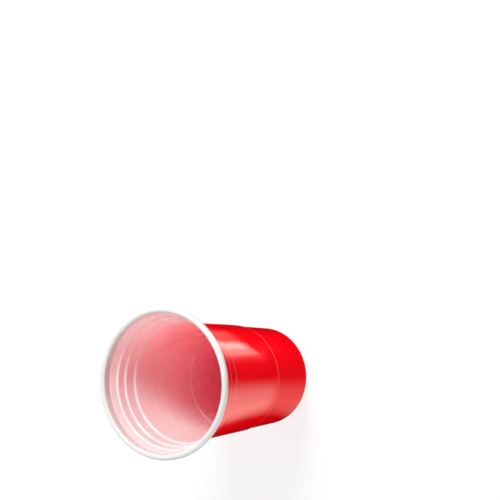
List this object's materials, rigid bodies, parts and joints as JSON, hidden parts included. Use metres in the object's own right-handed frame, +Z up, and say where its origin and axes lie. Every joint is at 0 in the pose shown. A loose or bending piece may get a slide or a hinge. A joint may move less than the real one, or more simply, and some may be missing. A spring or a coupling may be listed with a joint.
{
  "type": "plastic party cup",
  "caption": "Tapered round drinking cup of thin formed plastic, with a rolled rim, a stepped upper wall, a low filling step and a recessed base.",
  "frame": {"origin": "centre of the foot ring, on the surface that the cup stands on", "axes": "+Z up along the cup's axis, from the base to the mouth; the cup is round, so X and Y are alike"},
  "size_m": [0.096, 0.096, 0.127],
  "materials": {
    "cup": "glossy red outside, with a white inner skin that shows on the inside and on the rolled rim"
  },
  "bodies": {
    "root": {"cup": "cup"}
  },
  "joints": []
}
